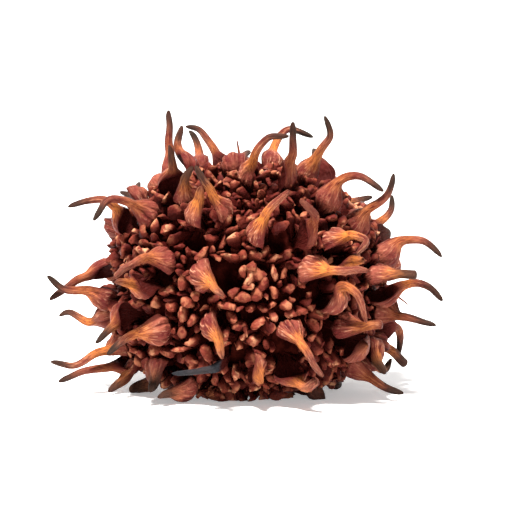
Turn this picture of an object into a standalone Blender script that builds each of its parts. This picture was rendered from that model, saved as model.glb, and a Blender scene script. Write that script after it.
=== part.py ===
"""Sweetgum seed ball: the dry, opened fruit head of a sweetgum tree, lying on its worn underside.

The ball is one woody growth. Its middle carries some sixty capsules, and each capsule has split into
two valves that end in a curved beak, with a dark opening between them. Blunt knobs fill the places
between the capsules, and the scar of the fallen stalk is in the middle of the flat underside.

The origin is on the ground in the middle of the flat underside: +X is the viewer's right, +Y leads
away from the viewer and +Z is up. The side towards the viewer is laid out capsule by capsule, and the
rest is grown by a rule of even spacing with a fixed seed.
"""

import math
import random

import bmesh
import bpy
from mathutils import Matrix, Vector

MM = 0.001

# The body, without its beaks, is a slightly square and flattened ball.
BODY_HALF_WIDTH = 13.8 * MM
BODY_HALF_HEIGHT = 11.8 * MM
SQUARENESS = 2.35
MIDDLE = Vector((0, 0, 10.7 * MM))
CORE_SHARE = 0.9
CORE_FINENESS = 2

# Each valve widens above its root, narrows to a neck and runs on as a beak.
ROOT_DEPTH = 3.8 * MM
ROOT_NARROWING = 0.6
VALVE_HALF_WIDTH = 1.5 * MM
NECK_HALF_WIDTH = 0.6 * MM
TIP_HALF_WIDTH = 0.34 * MM
NECK_HEIGHT = 2.6 * MM
VALVE_THICKNESS = 0.65
BEAK_THICKNESS = 0.95
INNER_FLATNESS = 0.35

# The valves that the viewer sees have more faces than the others.
SEEN_VALVE_SIDES = 5
SEEN_BEAK_RINGS = (0.45, 0.9)
GROWN_VALVE_SIDES = 4
GROWN_BEAK_RINGS = (0.6,)
ROUTE_STEPS = 8

# The grown capsules cover what the viewer doesn't see: where the body turns at least this far away.
GROWN_SEED = 23
IN_VIEW = 0.2
SITE_TRIES = 400
CAPSULE_SPACING = 4.75 * MM
HALF_OPENING = 1.45 * MM
BEAK_LENGTHS = (4.8 * MM, 7.4 * MM)
BEAK_CURLS = (0.15, 0.55)
BEAK_SWAY = math.radians(45)
BEND_RISE = 0.55
BEND_LEAN = 0.12
CURL_DROP = 0.55

# They lean back until they keep to the body's outline, and those underneath are short and lie flat.
OUTLINE_MARGIN = 1.2 * MM
BACKWARD_LEANS = (0, 0.3, 0.6, 1, 1.6, 2.5, 4)
STEEPEST_DROP = 0.3
UNDERSIDE_SHORTENING = 0.75
SHORTEST_SHARE = 0.3
GROUND_CLEARANCE = 0.45 * MM

# Knobs stand between the capsules, larger than life and fewer.
KNOB_SEED = 5
KNOB_TRIES = 5000
KNOB_SPACING = 2.4 * MM
KNOB_TO_VALVE = 1.85 * MM
KNOB_TO_OPENING = 1.85 * MM
KNOB_RADII = (0.9 * MM, 1.25 * MM)
KNOB_HEIGHTS = (-0.5 * MM, 0.2 * MM)
KNOB_ROOT_DEPTH = 4.6 * MM
KNOB_ROOT_NARROWING = 0.6
KNOB_SHOULDER_DEPTH = 0.7 * MM
KNOB_SIDES = 4

SCAR_RADIUS = 1.5 * MM
SCAR_TOP = 3.5 * MM
SCAR_SIDES = 12
GROUND_SIZE = 60 * MM
GROUND_THICKNESS = 10 * MM

# The viewer looks down on the ball at this angle.
VIEW_TILT = math.radians(6)
RIGHT = Vector((1, 0, 0))
UP = Vector((0, math.sin(VIEW_TILT), math.cos(VIEW_TILT)))
TOWARD = Vector((0, -math.cos(VIEW_TILT), math.sin(VIEW_TILT)))

NEAR, FAR = 1, -1
CLIMB_POWER = 0.6
HALVINGS = 30

# The capsules on the viewer's side. Each has two valves, and a valve is its length in mm, whether it
# grows on the near or the far face, and the route of its beak: mm to the right and mm up as seen.
SEEN_CAPSULES = {
    "crown_left": ((7.2, FAR, (-7.2, 21.3), (-7.7, 24.4), (-7.7, 28.1)),
                   (5.5, FAR, (-6.1, 21.9), (-7.0, 24.6), (-6.7, 26.4))),
    "crown_arch": ((7.5, FAR, (-2.6, 21.9), (-3.9, 24.9), (-4.9, 26.3), (-6.4, 26.6)),
                   (5.6, FAR, (-4.6, 21.9), (-4.9, 24.4), (-5.9, 26.2))),
    "temple_left": ((4.6, NEAR, (-5.9, 19.2), (-5.9, 20.8), (-5.1, 22.1)),
                    (5.0, NEAR, (-7.4, 19.9), (-8.0, 21.7), (-7.3, 22.9))),
    "brow_left": ((4.4, NEAR, (-4.4, 17.2), (-4.3, 20.0)),
                  (6.0, NEAR, (-2.6, 17.6), (-3.9, 20.2), (-5.0, 22.0))),
    "rim_left_high": ((8.0, NEAR, (-9.6, 17.3), (-11.9, 18.8), (-13.6, 18.7), (-14.7, 16.8)),
                      (8.4, NEAR, (-11.7, 16.5), (-13.2, 18.6), (-15.3, 18.9), (-17.3, 18.0))),
    "thin_left": ((7.0, FAR, (-8.6, 18.5), (-10.7, 19.3), (-13.1, 20.0)),
                  (4.0, FAR, (-8.4, 20.2), (-9.6, 21.0))),
    "cheek_left": ((7.0, NEAR, (-8.0, 12.7), (-10.0, 13.2), (-12.8, 11.4)),
                   (4.8, NEAR, (-9.7, 10.7), (-12.6, 10.9))),
    "rim_left": ((6.8, NEAR, (-13.9, 11.8), (-16.3, 11.2), (-19.6, 9.1)),
                 (6.8, NEAR, (-13.7, 9.4), (-15.9, 10.0), (-18.1, 10.2), (-19.7, 11.4))),
    "rim_left_low": ((6.2, FAR, (-13.5, 7.5), (-15.9, 6.9), (-17.9, 7.8), (-18.9, 7.3)),
                     (3.2, FAR, (-13.4, 9.0), (-15.0, 8.6))),
    "jaw_left": ((5.2, NEAR, (-11.7, 7.6), (-13.3, 6.3), (-14.6, 5.1)),
                 (6.4, NEAR, (-8.4, 6.4), (-11.0, 5.7), (-13.5, 3.9))),
    "low_left": ((8.0, NEAR, (-12.3, 4.3), (-14.9, 3.7), (-17.1, 2.6), (-19.3, 3.0)),
                 (7.2, NEAR, (-12.1, 2.6), (-15.3, 2.3), (-18.7, 1.0))),
    "foot_left": ((3.6, NEAR, (-11.6, 1.3), (-13.8, 0.0)),
                  (3.0, NEAR, (-10.4, 0.9), (-11.6, -0.3))),
    "chin_left": ((3.6, NEAR, (-8.2, 2.4), (-9.4, 0.2)),
                  (4.4, NEAR, (-6.1, 1.0), (-8.6, -0.2))),
    "chin": ((6.0, NEAR, (-1.9, 3.2), (-4.4, 2.4), (-7.1, 2.2)),
             (3.5, NEAR, (0.3, 2.9), (1.6, 1.2))),
    "nose": ((5.0, NEAR, (-3.9, 11.6), (-2.2, 9.6)),
             (4.2, NEAR, (1.0, 10.9), (-1.2, 9.9))),
    "lip": ((4.6, NEAR, (-3.5, 6.8), (-3.0, 5.2), (-2.6, 3.8)),
            (3.6, NEAR, (-1.0, 6.9), (-2.4, 7.6))),
    "brow_right": ((6.4, NEAR, (1.5, 15.4), (1.9, 17.5), (4.1, 19.6)),
                   (6.2, NEAR, (5.2, 15.3), (6.4, 17.2), (5.0, 18.8))),
    "crown": ((7.6, NEAR, (0.4, 21.0), (0.9, 23.4), (2.1, 24.8), (4.1, 25.0)),
              (7.0, NEAR, (3.4, 20.9), (4.3, 23.3), (4.4, 26.4))),
    "crown_back": ((8.0, FAR, (2.3, 22.2), (3.0, 25.0), (4.5, 26.4), (6.6, 25.5)),
                   (4.0, FAR, (0.5, 22.0), (-0.4, 23.6))),
    "crown_right": ((7.4, NEAR, (5.8, 21.2), (7.3, 23.8), (8.2, 25.4), (7.5, 27.0)),
                    (4.6, FAR, (7.6, 21.2), (6.7, 24.2))),
    "temple_right": ((7.4, NEAR, (7.8, 18.6), (9.1, 20.7), (11.0, 21.2), (13.1, 19.6)),
                     (6.6, FAR, (8.9, 18.0), (10.8, 19.1), (12.9, 19.5))),
    "rim_right_high": ((7.4, NEAR, (10.8, 16.5), (11.9, 18.0), (13.7, 19.4), (14.2, 21.5)),
                       (6.8, FAR, (11.9, 15.8), (13.8, 16.9), (14.8, 18.3), (14.9, 19.7))),
    "rim_right": ((7.0, NEAR, (13.3, 13.2), (15.1, 14.7), (17.3, 15.0), (19.3, 13.2)),
                  (3.2, FAR, (13.2, 14.9), (14.4, 16.0))),
    "cheek_right": ((6.4, NEAR, (8.4, 14.5), (10.3, 15.3), (11.4, 14.8), (10.4, 13.6)),
                    (4.2, NEAR, (9.2, 13.1), (11.2, 13.0))),
    "ear_right": ((7.2, NEAR, (6.2, 11.8), (8.3, 12.0), (11.6, 12.0)),
                  (6.8, NEAR, (7.9, 9.2), (9.1, 10.6), (10.5, 9.8), (11.6, 7.1))),
    "rim_right_middle": ((4.6, NEAR, (12.6, 11.2), (14.6, 11.5), (16.6, 11.6)),
                         (6.8, NEAR, (12.9, 9.6), (15.3, 10.7), (17.8, 10.5), (19.2, 9.2))),
    "rim_right_low": ((6.6, NEAR, (13.3, 8.0), (15.8, 7.3), (18.5, 6.6)),
                      (6.2, FAR, (13.5, 6.6), (15.2, 6.1), (15.5, 3.5))),
    "jaw_right": ((4.4, NEAR, (9.4, 6.5), (11.3, 6.6), (13.1, 6.8)),
                  (2.8, NEAR, (10.2, 4.8), (11.6, 4.8))),
    "chin_right": ((6.8, NEAR, (4.0, 6.2), (5.4, 4.6), (7.2, 2.0)),
                   (5.4, NEAR, (4.1, 2.6), (5.7, 0.9), (6.7, 1.7))),
    "foot_right": ((6.0, NEAR, (10.5, 2.9), (12.8, 1.1), (15.3, 0.1)),
                   (4.4, NEAR, (11.8, 4.2), (13.4, 2.0))),
    "low_right": ((5.6, FAR, (12.8, 4.6), (14.4, 3.9), (15.9, 2.4)),
                  (4.6, FAR, (12.6, 3.2), (13.9, 2.1), (14.5, 3.1))),
}


def reach(direction):
    """Distance from the middle to the body's surface along a unit direction."""
    across = math.hypot(direction.x, direction.y) / BODY_HALF_WIDTH
    upward = abs(direction.z) / BODY_HALF_HEIGHT
    return (across**SQUARENESS + upward**SQUARENESS) ** (-1 / SQUARENESS)


def surface(direction):
    """The point of the body's surface that lies in a unit direction from the middle."""
    return MIDDLE + direction * reach(direction)


def outward(direction):
    """The body's surface normal in a unit direction from the middle."""
    rim = math.hypot(direction.x, direction.y)
    across = (rim / BODY_HALF_WIDTH) ** (SQUARENESS - 1) / BODY_HALF_WIDTH
    upward = (abs(direction.z) / BODY_HALF_HEIGHT) ** (SQUARENESS - 1) / BODY_HALF_HEIGHT
    level = Vector((direction.x, direction.y, 0)).normalized()
    return (level * across + Vector((0, 0, math.copysign(upward, direction.z)))).normalized()


def as_seen(right, up, toward):
    """A point given by how far right, up and towards the viewer it lies."""
    return RIGHT * right + UP * up + TOWARD * toward


def on_body(right, up, face):
    """The point of the body's near or far face that is seen at right and up, or else of its rim."""
    start = as_seen(right, up, 0) - MIDDLE
    start -= TOWARD * start.dot(TOWARD)
    if start.length >= reach(start.normalized()):
        return surface(start.normalized())
    low, high = 0.0, 2 * BODY_HALF_WIDTH
    for _ in range(HALVINGS):
        half = (low + high) / 2
        arm = start + TOWARD * face * half
        if arm.length < reach(arm.normalized()):
            low = half
        else:
            high = half
    return MIDDLE + start + TOWARD * face * low


def above_ground(point):
    """The point, raised where it would lie in the ground."""
    return Vector((point.x, point.y, max(point.z, GROUND_CLEARANCE)))


def seen_route(length, face, *flat):
    """A valve's route in space. What its length in the picture lacks, it climbs towards the viewer."""
    flat = [Vector((right, up)) * MM for right, up in flat]
    steps = [(after - before).length for before, after in zip(flat, flat[1:])]
    climb = math.sqrt(max((length * MM) ** 2 - sum(steps) ** 2, 0))
    base = on_body(flat[0].x, flat[0].y, face)
    depth, run, route = base.dot(TOWARD), 0.0, [base]
    for spot, step in zip(flat[1:], steps):
        run += step
        share = (run / sum(steps)) ** CLIMB_POWER
        route.append(above_ground(as_seen(spot.x, spot.y, depth + face * climb * share)))
    return route


def tangent_frame(normal, turn):
    """Two unit vectors along the surface at right angles, turned about the normal."""
    side = normal.orthogonal().normalized()
    side.rotate(Matrix.Rotation(turn, 3, normal))
    return side, normal.cross(side)


def beyond_outline(point):
    """How far a point stands out past the body's outline in the viewer's eyes."""
    arm = point - MIDDLE
    arm -= TOWARD * arm.dot(TOWARD)
    return arm.length - reach(arm.normalized())


def grown_valve(rng, centre, normal, away, side):
    """The route of a valve that grows by the rule, leaning away from its partner and from the viewer."""
    base = surface((centre + away * HALF_OPENING - MIDDLE).normalized())
    length = rng.uniform(*BEAK_LENGTHS)
    sway = rng.gauss(0, BEAK_SWAY)
    curl = rng.uniform(*BEAK_CURLS)
    lean = away * math.cos(sway) + side * math.sin(sway)
    if normal.z < -STEEPEST_DROP:
        length *= max(SHORTEST_SHARE, 1 + normal.z * UNDERSIDE_SHORTENING)
        lean = Vector((normal.x, normal.y, 0)).normalized()
    for backward in BACKWARD_LEANS:
        rise = normal - TOWARD * backward
        rise.z = max(rise.z, -STEEPEST_DROP * rise.length)
        rise.normalize()
        bend = base + (rise * BEND_RISE + lean * BEND_LEAN) * length
        tip = base + (rise * (1 - CURL_DROP * curl) + lean * curl) * length
        if beyond_outline(tip) < OUTLINE_MARGIN:
            break
    return [base, above_ground(bend), above_ground(tip)]


def random_direction(rng):
    """A unit direction, even over the sphere."""
    height, turn = rng.uniform(-1, 1), rng.uniform(0, math.tau)
    level = math.sqrt(1 - height * height)
    return Vector((level * math.cos(turn), level * math.sin(turn), height))


def lay_out_capsules():
    """All capsules as pairs of routes: those the viewer sees, then the grown ones, evenly between."""
    capsules = [tuple(seen_route(*valve) for valve in pair) for pair in SEEN_CAPSULES.values()]
    taken = [(one[0] + other[0]) / 2 for one, other in capsules]
    taken.append(Vector((0, 0, 0)))
    rng = random.Random(GROWN_SEED)
    while True:
        best, gap = None, 0.0
        for _ in range(SITE_TRIES):
            direction = random_direction(rng)
            if outward(direction).dot(TOWARD) > IN_VIEW:
                continue
            spot = surface(direction)
            nearest = min((spot - other).length for other in taken)
            if nearest > gap:
                best, gap = direction, nearest
        if gap < CAPSULE_SPACING:
            return capsules
        centre, normal = surface(best), outward(best)
        away, side = tangent_frame(normal, rng.uniform(0, math.pi))
        taken.append(centre)
        capsules.append((grown_valve(rng, centre, normal, away, side),
                         grown_valve(rng, centre, normal, -away, side)))


def smooth_route(points, per_step):
    """A centripetal Catmull-Rom curve through the points."""
    points = [2 * points[0] - points[1], *points, 2 * points[-1] - points[-2]]
    route = []
    for a, b, c, d in zip(points, points[1:], points[2:], points[3:]):
        t1 = math.sqrt((b - a).length)
        t2 = t1 + math.sqrt((c - b).length)
        t3 = t2 + math.sqrt((d - c).length)
        for step in range(per_step):
            t = t1 + (t2 - t1) * step / per_step
            ab = a.lerp(b, t / t1)
            bc = b.lerp(c, (t - t1) / (t2 - t1))
            cd = c.lerp(d, (t - t2) / (t3 - t2))
            abc = ab.lerp(bc, t / t2)
            bcd = bc.lerp(cd, (t - t1) / (t3 - t1))
            route.append(abc.lerp(bcd, (t - t1) / (t2 - t1)))
    route.append(points[-2])
    return route


def point_at(route, distance):
    """The point of a route at a distance along it, and the direction there."""
    for before, after in zip(route, route[1:]):
        step = (after - before).length
        if distance <= step or after is route[-1]:
            return before.lerp(after, distance / step), (after - before).normalized()
        distance -= step


def length_of(route):
    """The length of a route."""
    return sum((after - before).length for before, after in zip(route, route[1:]))


def loft(name, rings, tip):
    """A closed object through rings of points, with a flat root and a pointed tip."""
    shape = bmesh.new()
    loops = [[shape.verts.new(point) for point in ring] for ring in rings]
    sides = len(loops[0])
    for below, above in zip(loops, loops[1:]):
        for k in range(sides):
            after = (k + 1) % sides
            shape.faces.new((below[k], below[after], above[after], above[k]))
    end = shape.verts.new(tip)
    for k in range(sides):
        shape.faces.new((loops[-1][k], loops[-1][(k + 1) % sides], end))
    shape.faces.new(loops[0][::-1])
    bmesh.ops.recalc_face_normals(shape, faces=shape.faces)
    return made(name, shape)


def made(name, shape):
    """An object from a bmesh."""
    mesh = bpy.data.meshes.new(name)
    shape.to_mesh(mesh)
    shape.free()
    return bpy.data.objects.new(name, mesh)


def widths_along(length, beak_rings):
    """Where a valve's rings lie along its route, each with its half width."""
    neck = ROOT_DEPTH + NECK_HEIGHT
    stations = [
        (0.0, VALVE_HALF_WIDTH * ROOT_NARROWING),
        (ROOT_DEPTH - NECK_HEIGHT * 0.3, VALVE_HALF_WIDTH),
        (ROOT_DEPTH + NECK_HEIGHT * 0.4, VALVE_HALF_WIDTH * 0.9),
        (neck, NECK_HALF_WIDTH),
    ]
    for share in beak_rings:
        half_width = NECK_HALF_WIDTH + (TIP_HALF_WIDTH - NECK_HALF_WIDTH) * share
        stations.append((neck + (length - neck) * share, half_width))
    return stations


def valve(name, points, partner, beak_rings, sides):
    """One valve with its beak: a half-round horn whose flatter inner side faces its partner."""
    base = points[0]
    root = base - outward((base - MIDDLE).normalized()) * ROOT_DEPTH
    route = smooth_route([root, *points], ROUTE_STEPS)
    inner = partner - base
    rings = []
    for distance, half_width in widths_along(length_of(route), beak_rings):
        centre, along = point_at(route, distance)
        inner = (inner - along * inner.dot(along)).normalized()
        across = along.cross(inner)
        fullness = (half_width - TIP_HALF_WIDTH) / (VALVE_HALF_WIDTH - TIP_HALF_WIDTH)
        half_depth = half_width * (BEAK_THICKNESS + (VALVE_THICKNESS - BEAK_THICKNESS) * fullness)
        ring = []
        for k in range(sides):
            turn = math.tau * (k / sides + 0.25)
            depth = math.sin(turn) * half_depth
            if depth < 0:
                depth *= 1 - (1 - INNER_FLATNESS) * fullness
            ring.append(centre + across * math.cos(turn) * half_width - inner * depth)
        rings.append(ring)
    return loft(name, rings, route[-1])


def knob_sites(capsules):
    """Spots between the capsules, each as a direction, kept clear of valves, openings and each other."""
    valves = [route[0] for pair in capsules for route in pair]
    openings = [(one[0] + other[0]) / 2 for one, other in capsules]
    rng = random.Random(KNOB_SEED)
    chosen, spots = [], []
    for _ in range(KNOB_TRIES):
        direction = random_direction(rng)
        spot = surface(direction)
        if spot.xy.length < 2 * SCAR_RADIUS and direction.z < 0:
            continue
        if any((spot - other).length < KNOB_SPACING for other in spots):
            continue
        if any((spot - other).length < KNOB_TO_VALVE for other in valves):
            continue
        if any((spot - other).length < KNOB_TO_OPENING for other in openings):
            continue
        chosen.append(direction)
        spots.append(spot)
    return chosen


def knob(name, direction, rng):
    """One blunt knob: a faceted peg, rooted in the core, that widens to a shoulder and a low point."""
    normal = outward(direction)
    side, other = tangent_frame(normal, rng.uniform(0, math.tau))
    top = surface(direction) + normal * rng.uniform(*KNOB_HEIGHTS)
    girth = rng.uniform(*KNOB_RADII)
    rings = []
    for depth, radius in ((KNOB_ROOT_DEPTH, girth * KNOB_ROOT_NARROWING), (KNOB_SHOULDER_DEPTH, girth)):
        ring = []
        for k in range(KNOB_SIDES):
            turn = math.tau * k / KNOB_SIDES
            ring.append(top - normal * depth + (side * math.cos(turn) + other * math.sin(turn)) * radius)
        rings.append(ring)
    return loft(name, rings, top)


def core():
    """The woody middle that every valve and knob stands out of."""
    shape = bmesh.new()
    bmesh.ops.create_icosphere(shape, subdivisions=CORE_FINENESS, radius=1)
    for vert in shape.verts:
        direction = vert.co.normalized()
        vert.co = MIDDLE + direction * reach(direction) * CORE_SHARE
    return made("seed_ball", shape)


def stalk_scar():
    """The short stump under the core where the stalk broke off."""
    middle = (SCAR_TOP - GROUND_CLEARANCE) / 2
    bpy.ops.mesh.primitive_cylinder_add(
        vertices=SCAR_SIDES,
        radius=SCAR_RADIUS,
        depth=SCAR_TOP + GROUND_CLEARANCE,
        location=(0, 0, middle),
    )
    return bpy.context.object


def ground_cutter():
    """The block that takes away what reaches into the ground, which leaves the worn flat underside."""
    bpy.ops.mesh.primitive_cube_add(
        size=1,
        location=(0, 0, -GROUND_THICKNESS / 2),
        scale=(GROUND_SIZE, GROUND_SIZE, GROUND_THICKNESS),
    )
    cutter = bpy.context.object
    cutter.name = "ground"
    cutter.hide_render = True
    cutter.display_type = "WIRE"
    return cutter


def collection(name):
    """A new collection in the scene."""
    group = bpy.data.collections.new(name)
    bpy.context.scene.collection.children.link(group)
    return group


def move_to(group, item):
    """Puts an object in one collection only."""
    for other in item.users_collection:
        other.objects.unlink(item)
    group.objects.link(item)


def wood():
    """The dry red-brown wood of the ball."""
    material = bpy.data.materials.new("dry_wood")
    material.use_nodes = True
    shader = material.node_tree.nodes["Principled BSDF"]
    shader.inputs["Base Color"].default_value = (0.21, 0.062, 0.026, 1)
    shader.inputs["Roughness"].default_value = 0.62
    shader.inputs["Metallic"].default_value = 0
    return material


def apply_modifiers(item):
    """Replaces the object's mesh with the one its modifiers make."""
    seen = bpy.context.evaluated_depsgraph_get()
    item.data = bpy.data.meshes.new_from_object(item.evaluated_get(seen))
    item.modifiers.clear()


def build():
    """Grows the ball and cuts its underside flat."""
    for item in list(bpy.data.objects):
        bpy.data.objects.remove(item)
    ball_group = collection("sweetgum_seed_ball")
    repeats = collection("valves_and_knobs")
    cutters = collection("cutters")

    ball = core()
    ball_group.objects.link(ball)
    capsules = lay_out_capsules()
    for number, pair in enumerate(capsules):
        seen = number < len(SEEN_CAPSULES)
        beak_rings = SEEN_BEAK_RINGS if seen else GROWN_BEAK_RINGS
        sides = SEEN_VALVE_SIDES if seen else GROWN_VALVE_SIDES
        for side, (points, partner) in enumerate(zip(pair, reversed(pair))):
            repeats.objects.link(valve(f"valve_{number}_{side}", points, partner[0], beak_rings, sides))
    rng = random.Random(KNOB_SEED)
    for number, direction in enumerate(knob_sites(capsules)):
        repeats.objects.link(knob(f"knob_{number}", direction, rng))
    move_to(repeats, stalk_scar())

    union = ball.modifiers.new("union", "BOOLEAN")
    union.operation = "UNION"
    union.operand_type = "COLLECTION"
    union.collection = repeats
    union.solver = "MANIFOLD"
    apply_modifiers(ball)
    for item in list(repeats.objects):
        bpy.data.objects.remove(item)
    bpy.data.collections.remove(repeats)

    ground = ground_cutter()
    move_to(cutters, ground)
    cut = ball.modifiers.new("underside", "BOOLEAN")
    cut.operation = "DIFFERENCE"
    cut.object = ground
    cut.solver = "MANIFOLD"
    ball.data.materials.clear()
    ball.data.materials.append(wood())


build()
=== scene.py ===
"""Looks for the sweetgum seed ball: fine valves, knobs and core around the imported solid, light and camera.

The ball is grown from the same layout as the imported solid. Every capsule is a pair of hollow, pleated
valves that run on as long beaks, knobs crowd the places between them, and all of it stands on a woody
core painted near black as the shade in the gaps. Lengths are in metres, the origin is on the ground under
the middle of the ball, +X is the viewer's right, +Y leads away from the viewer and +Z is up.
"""

from __future__ import annotations

import logging
import math
import random
from collections.abc import Callable, Sequence
from dataclasses import dataclass
from enum import Enum
from typing import Any

import bmesh
import bpy
import numpy as np
from mathutils import Matrix, Vector, noise

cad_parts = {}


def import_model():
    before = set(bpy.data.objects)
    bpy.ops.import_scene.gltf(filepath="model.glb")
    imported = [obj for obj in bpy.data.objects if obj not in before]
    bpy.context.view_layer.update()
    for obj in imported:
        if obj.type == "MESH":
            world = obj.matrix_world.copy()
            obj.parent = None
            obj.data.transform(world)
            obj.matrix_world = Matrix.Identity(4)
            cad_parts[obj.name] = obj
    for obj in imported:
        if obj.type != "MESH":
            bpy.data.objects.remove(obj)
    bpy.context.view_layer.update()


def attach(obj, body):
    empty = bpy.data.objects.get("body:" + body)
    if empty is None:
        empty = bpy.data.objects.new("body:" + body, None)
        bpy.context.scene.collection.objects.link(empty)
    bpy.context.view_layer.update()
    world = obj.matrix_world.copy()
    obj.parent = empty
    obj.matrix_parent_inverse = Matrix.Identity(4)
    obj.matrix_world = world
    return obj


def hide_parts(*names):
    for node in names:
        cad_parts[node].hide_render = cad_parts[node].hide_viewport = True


LOG = logging.getLogger("sweetgum")
MM = 0.001
NODE = "seed_ball"

# How much dry wood mirrors the light.
SHEEN = 0.04

# What wear leaves of a dip into the ground, so that no two worn faces lie in one plane.
UNWORN_SHARE = 0.03

# The seed of the noise that bends the beaks, so that every run grows the same ball.
NOISE_SEED = 5

Triple = tuple[float, float, float]
Colour = Triple


# Form


@dataclass(frozen=True)
class Viewpoint:
    """Where the ball is seen from, as the three directions of the picture."""

    tilt: float = math.radians(6)

    @property
    def right(self) -> Vector:
        """The direction that is right in the picture."""
        return Vector((1, 0, 0))

    @property
    def up(self) -> Vector:
        """The direction that is up in the picture."""
        return Vector((0, math.sin(self.tilt), math.cos(self.tilt)))

    @property
    def toward(self) -> Vector:
        """The direction from the ball to the viewer."""
        return Vector((0, -math.cos(self.tilt), math.sin(self.tilt)))

    def place(self, right: float, up: float, toward: float) -> Vector:
        """The point at these distances along the picture's directions."""
        return self.right * right + self.up * up + self.toward * toward


VIEW = Viewpoint()


class Face(Enum):
    """Which face of the body a capsule grows on, as the viewer sees it."""

    NEAR = 1
    FAR = -1


@dataclass(frozen=True)
class Body:
    """The ball without its beaks: a slightly square and flattened ball."""

    half_width: float = 13.8 * MM
    half_height: float = 11.8 * MM
    squareness: float = 2.35
    middle_height: float = 10.7 * MM
    halvings: int = 30

    @property
    def middle(self) -> Vector:
        """The middle of the ball."""
        return Vector((0, 0, self.middle_height))

    def reach(self, direction: Vector) -> float:
        """Distance from the middle to the surface along a unit direction."""
        across = math.hypot(direction.x, direction.y) / self.half_width
        upward = abs(direction.z) / self.half_height
        return (across**self.squareness + upward**self.squareness) ** (-1 / self.squareness)

    def surface(self, direction: Vector) -> Vector:
        """The surface point in a unit direction from the middle."""
        return self.middle + direction * self.reach(direction)

    def outward(self, direction: Vector) -> Vector:
        """The surface normal in a unit direction from the middle."""
        power = self.squareness - 1
        rim = math.hypot(direction.x, direction.y)
        across = (rim / self.half_width) ** power / self.half_width
        upward = (abs(direction.z) / self.half_height) ** power / self.half_height
        level = Vector((direction.x, direction.y, 0)).normalized()
        return (level * across + Vector((0, 0, math.copysign(upward, direction.z)))).normalized()

    def seen_at(self, right: float, up: float, face: Face) -> Vector:
        """The surface point that lies at a place in the picture.

        Args:
            right: how far right in the picture.
            up: how far up in the picture.
            face: whether it is on the near or the far face.

        Returns:
            That point, or the nearest one of the rim where the place is outside the body.
        """
        start = VIEW.place(right, up, 0) - self.middle
        start -= VIEW.toward * start.dot(VIEW.toward)
        if start.length >= self.reach(start.normalized()):
            return self.surface(start.normalized())
        low, high = 0.0, 2 * self.half_width
        for _ in range(self.halvings):
            half = (low + high) / 2
            arm = start + VIEW.toward * face.value * half
            if arm.length < self.reach(arm.normalized()):
                low = half
            else:
                high = half
        return self.middle + start + VIEW.toward * face.value * low

    def beyond_outline(self, point: Vector) -> float:
        """How far a point stands out past the outline in the viewer's eyes."""
        arm = point - self.middle
        arm -= VIEW.toward * arm.dot(VIEW.toward)
        return arm.length - self.reach(arm.normalized())


BODY = Body()


def random_direction(rng: random.Random) -> Vector:
    """A unit direction, even over the sphere."""
    height, turn = rng.uniform(-1, 1), rng.uniform(0, math.tau)
    level = math.sqrt(1 - height * height)
    return Vector((level * math.cos(turn), level * math.sin(turn), height))


def tangent_frame(normal: Vector, turn: float) -> tuple[Vector, Vector]:
    """Two unit vectors at right angles to the normal and to each other, turned about the normal."""
    side = normal.orthogonal().normalized()
    other = normal.cross(side)
    turned = side * math.cos(turn) + other * math.sin(turn)
    return turned, normal.cross(turned)


def smooth_route(points: Sequence[Vector], per_step: int) -> list[Vector]:
    """A centripetal Catmull-Rom curve through the points.

    Args:
        points: the points it passes.
        per_step: how many points it has from one of them to the next.

    Returns:
        The curve's points.
    """
    held = [2 * points[0] - points[1], *points, 2 * points[-1] - points[-2]]
    route = []
    for a, b, c, d in zip(held, held[1:], held[2:], held[3:]):
        t1 = math.sqrt((b - a).length)
        t2 = t1 + math.sqrt((c - b).length)
        t3 = t2 + math.sqrt((d - c).length)
        for step in range(per_step):
            t = t1 + (t2 - t1) * step / per_step
            ab = a.lerp(b, t / t1)
            bc = b.lerp(c, (t - t1) / (t2 - t1))
            cd = c.lerp(d, (t - t2) / (t3 - t2))
            abc = ab.lerp(bc, t / t2)
            bcd = bc.lerp(cd, (t - t1) / (t3 - t1))
            route.append(abc.lerp(bcd, (t - t1) / (t2 - t1)))
    route.append(points[-1].copy())
    return route


def eased(value: float, low: float, high: float) -> float:
    """0 below low, 1 above high and a smooth step between them."""
    share = min(max((value - low) / (high - low), 0), 1)
    return share * share * (3 - 2 * share)


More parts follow.
